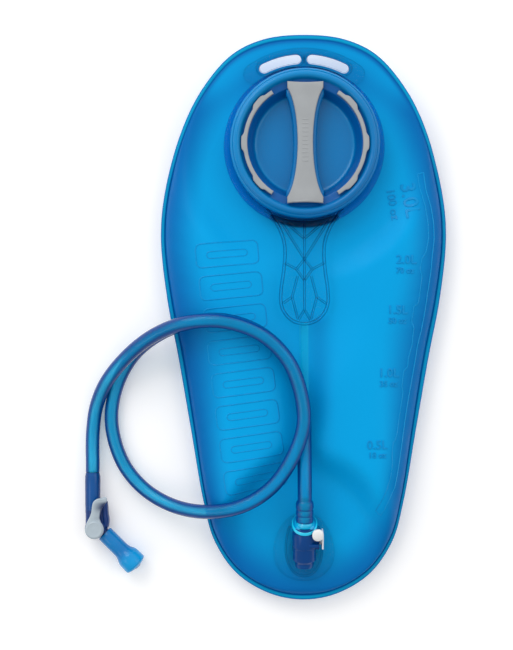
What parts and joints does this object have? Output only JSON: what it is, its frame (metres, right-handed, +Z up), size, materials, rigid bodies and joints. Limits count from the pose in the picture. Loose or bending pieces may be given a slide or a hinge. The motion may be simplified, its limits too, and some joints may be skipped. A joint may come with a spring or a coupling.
{
  "type": "hydration bladder",
  "caption": "Soft drinking-water reservoir lying flat, with a round screw cap, moulded handle, hang slots, quick-release hose, shut-off valve and bite valve.",
  "frame": {"origin": "on the ground, below the middle of the bladder's outline", "axes": "+X to the right, +Y along the bladder towards the hang slots, +Z up out of the cap side"},
  "size_m": [0.2714, 0.421, 0.0547],
  "materials": {
    "film_blue": "soft translucent film, satin",
    "film_inner": "soft translucent film, satin",
    "collar_clear": "clear moulded, glossy",
    "cap_blue": "translucent moulded, glossy",
    "grip_grey": "over-moulded, matt",
    "seal_silicone": "soft, matt",
    "socket_navy": "moulded, glossy",
    "connector_cyan": "translucent moulded, glossy",
    "button_white": "moulded, satin",
    "spring_steel": "drawn wire",
    "hose_blue": "soft translucent tube, glossy",
    "valve_navy": "translucent moulded, glossy",
    "plug_white": "moulded",
    "lever_grey": "moulded, satin",
    "bite_blue": "silicone, satin"
  },
  "bodies": {
    "root": {"front_film": "film_blue", "back_film": "film_blue", "center_baffle": "film_inner", "fill_collar": "collar_clear", "port_flange": "collar_clear", "port_body": "socket_navy", "poppet_spring": "spring_steel", "button_spring": "spring_steel", "drink_hose": "hose_blue", "valve_body": "valve_navy"},
    "cap_seal": {"cap_gasket": "seal_silicone"},
    "cap": {"cap_lid": "cap_blue", "cap_grip_bar": "grip_grey", "cap_grip_right": "grip_grey", "cap_grip_left": "grip_grey"},
    "poppet": {"port_poppet": "plug_white", "poppet_seal": "seal_silicone"},
    "button": {"release_button": "button_white"},
    "connector": {"hose_connector": "connector_cyan", "connector_oring": "seal_silicone"},
    "lever": {"valve_lever": "lever_grey", "valve_plug": "plug_white", "plug_oring_lower": "seal_silicone", "plug_oring_upper": "seal_silicone"},
    "bite": {"bite_valve": "bite_blue"}
  },
  "joints": [
    {"name": "cap_lift", "type": "slide", "parent": "root", "child": "cap_seal", "axis": [0, 0, 1], "range_m": [0, 0.018]},
    {"name": "cap_turn", "type": "hinge", "parent": "cap_seal", "child": "cap", "pos_m": [0, 0.1275, 0.044], "axis": [0, 0, 1], "range_deg": [0, 270]},
    {"name": "connector_pull", "type": "slide", "parent": "root", "child": "connector", "axis": [0, 0.9848, 0.1736], "range_m": [0, 0.018], "deforming": ["drink_hose"]},
    {"name": "poppet_close", "type": "slide", "parent": "root", "child": "poppet", "axis": [0, 0.9848, 0.1736], "range_m": [0, 0.0018], "deforming": ["poppet_spring"]},
    {"name": "button_press", "type": "slide", "parent": "root", "child": "button", "axis": [-1, 0, 0], "range_m": [0, 0.0016], "stiffness_N_per_m": 400, "deforming": ["button_spring"]},
    {"name": "lever_turn", "type": "hinge", "parent": "root", "child": "lever", "pos_m": [-0.1565, -0.1575, 0.01], "axis": [0, 0, 1], "range_deg": [0, 90]},
    {"name": "bite_pull", "type": "slide", "parent": "root", "child": "bite", "axis": [0.7071, -0.7071, 0], "range_m": [0, 0.014]}
  ],
  "couplings": [
    {"joint": "cap_turn", "follows": "cap_lift", "rad_per_m": 261.8},
    {"joint": "poppet_close", "follows": "connector_pull", "ratio": 0.1}
  ]
}
